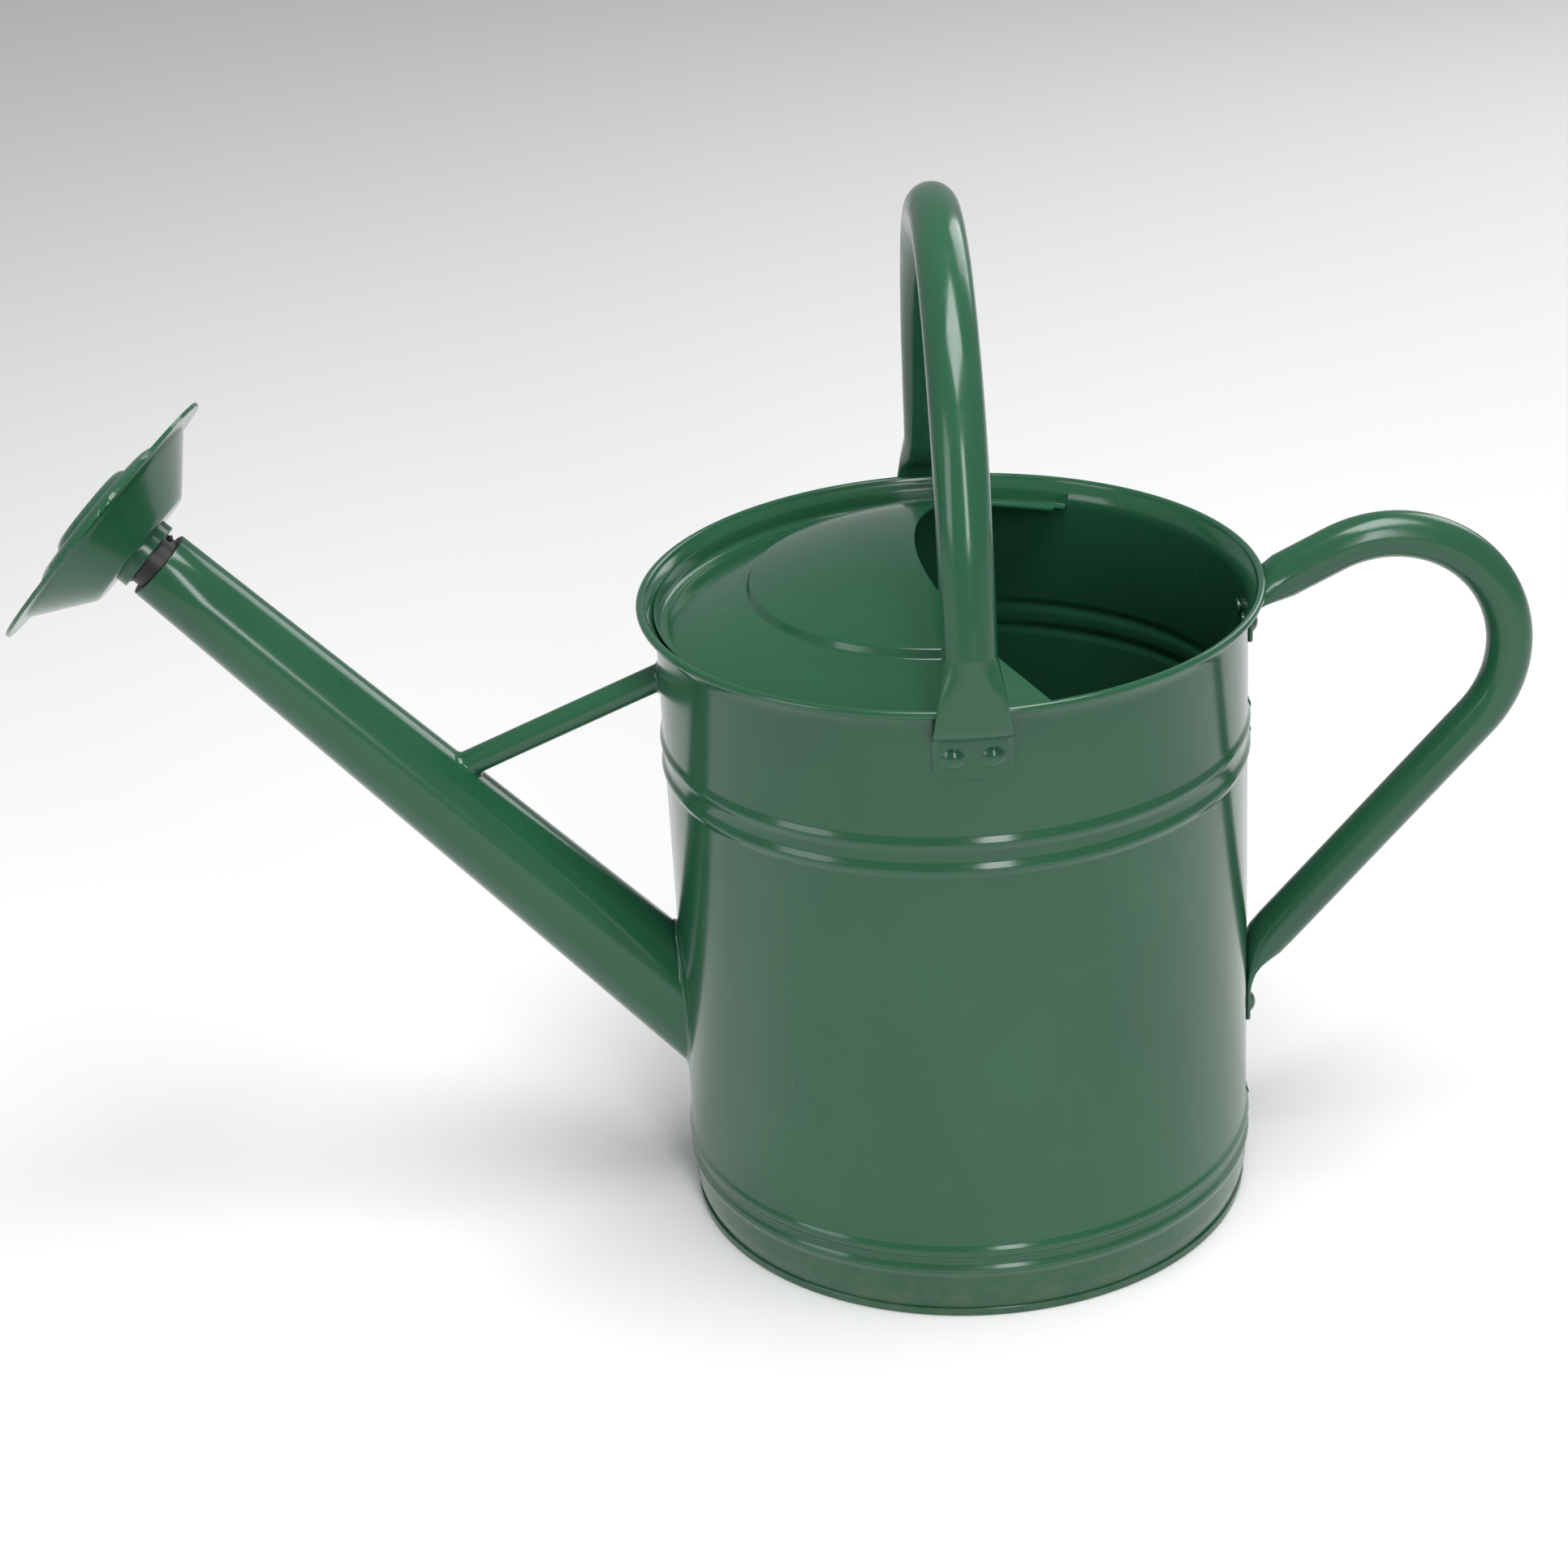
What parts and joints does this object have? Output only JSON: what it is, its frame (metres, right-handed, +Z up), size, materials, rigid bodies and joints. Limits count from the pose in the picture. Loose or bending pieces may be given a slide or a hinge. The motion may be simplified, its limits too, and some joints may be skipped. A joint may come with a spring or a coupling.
{
  "type": "watering can",
  "caption": "Steel garden watering can with a domed splash cover, braced spout, screw-on rose, arched carrying handle and pouring handle.",
  "frame": {"origin": "middle of the standing ring on the ground, on the tank's axis", "axes": "+Z up along the tank's axis; -X towards the spout, +X towards the pouring handle; the top handle's arch lies in the YZ plane"},
  "size_m": [0.5575, 0.2378, 0.3939],
  "materials": {
    "tank_paint": "glossy dark green powder coat on steel",
    "rim_wire_steel": "galvanised wire",
    "base_paint": "glossy dark green powder coat on steel",
    "cover_paint": "glossy dark green powder coat on steel",
    "spout_paint": "glossy dark green powder coat on steel",
    "brace_paint": "glossy dark green powder coat on steel",
    "top_handle_paint": "glossy dark green powder coat on steel",
    "rivet_paint": "glossy dark green powder coat on steel",
    "pouring_handle_paint": "glossy dark green powder coat on steel",
    "connector_plastic": "black moulded plastic",
    "washer_rubber": "black rubber",
    "rose_paint": "glossy dark green powder coat on steel"
  },
  "bodies": {
    "can": {"tank_wall": "tank_paint", "rim_wire": "rim_wire_steel", "base_pan": "base_paint", "splash_cover": "cover_paint", "spout_tube": "spout_paint", "spout_brace": "brace_paint", "top_handle": "top_handle_paint", "top_handle_front_rivets": "rivet_paint", "top_handle_back_rivets": "rivet_paint", "pouring_handle": "pouring_handle_paint", "pouring_handle_upper_rivets": "rivet_paint", "pouring_handle_lower_rivets": "rivet_paint", "spout_connector": "connector_plastic"},
    "washer": {"sealing_washer": "washer_rubber"},
    "rose": {"rose_collar": "rose_paint", "rose_shell": "rose_paint", "rose_face": "rose_paint"}
  },
  "joints": [
    {"name": "rose_travel", "type": "slide", "parent": "can", "child": "washer", "axis": [-0.7275, 0.1468, 0.6702], "range_m": [0, 0.0091]},
    {"name": "rose_turn", "type": "hinge", "parent": "washer", "child": "rose", "pos_m": [-0.28621, 0, 0.27374], "axis": [-0.7275, 0.1468, 0.6702], "range_deg": [0, 1080]}
  ],
  "couplings": [
    {"joint": "rose_travel", "follows": "rose_turn", "m_per_rad": 0.00047746}
  ]
}
